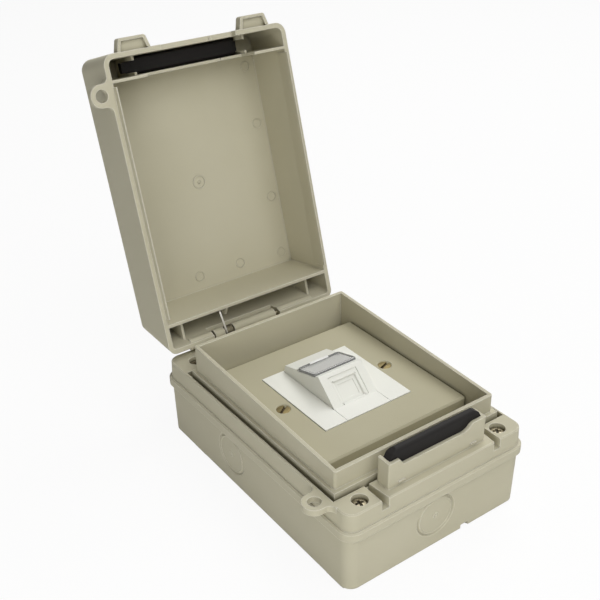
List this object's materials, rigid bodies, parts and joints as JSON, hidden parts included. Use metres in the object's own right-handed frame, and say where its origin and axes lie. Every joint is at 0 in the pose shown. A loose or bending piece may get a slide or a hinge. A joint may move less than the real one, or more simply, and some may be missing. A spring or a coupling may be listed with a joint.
{
  "type": "weatherproof ethernet socket box",
  "caption": "Surface-mounted weatherproof box with a hinged lid over a data outlet on a square faceplate, rubber cable-entry seal and padlock ears.",
  "frame": {"origin": "middle of the flat back that goes against the wall", "axes": "+Z away from the wall, +Y towards the lid hinge, +X to the right seen from the cable entry"},
  "size_m": [0.1115, 0.2124, 0.1915],
  "materials": {
    "grey_abs": "satin moulded",
    "white_polycarbonate": "satin",
    "black_rubber": "matt",
    "grey_silicone": "matt",
    "plated_steel": "zinc plated",
    "brass": "plain",
    "clear_acrylic": "clear",
    "white_card": "matt paper",
    "dark_nylon": "moulded",
    "gold_plate": "gold plated",
    "green_laminate": "lacquered",
    "ivory_nylon": "moulded",
    "tinned_bronze": "tinned"
  },
  "bodies": {
    "base": {"back_box": "grey_abs", "box_gasket": "black_rubber", "cover_frame": "grey_abs", "rim_seal": "grey_silicone", "cover_screws": "plated_steel", "faceplate": "grey_abs", "faceplate_screws": "brass", "faceplate_inserts": "brass", "data_module": "white_polycarbonate", "blank_left": "white_polycarbonate", "blank_right": "white_polycarbonate", "shutter_spring": "plated_steel", "label_window": "clear_acrylic", "label_card": "white_card", "jack_housing": "dark_nylon", "jack_contacts": "gold_plate", "circuit_board": "green_laminate", "wire_block": "ivory_nylon", "wire_contacts": "tinned_bronze", "entry_seal_bar": "black_rubber", "hinge_pin": "plated_steel", "lid_spring": "plated_steel"},
    "lid": {"lid": "grey_abs", "lid_seal_bar": "black_rubber"},
    "shutter": {"shutter": "white_polycarbonate"}
  },
  "joints": [
    {"name": "lid_hinge", "type": "hinge", "parent": "base", "child": "lid", "pos_m": [0, 0.0715, 0.045], "axis": [1, 0, 0], "range_deg": [0, 106], "stiffness_Nm_per_rad": 0.01, "springref_deg": -17.19, "deforming": ["lid_spring"]},
    {"name": "shutter_slide", "type": "slide", "parent": "base", "child": "shutter", "axis": [0, -0.7367, -0.6763], "range_m": [0, 0.009], "stiffness_N_per_m": 40, "springref_m": -0.004, "deforming": ["shutter_spring"]}
  ]
}
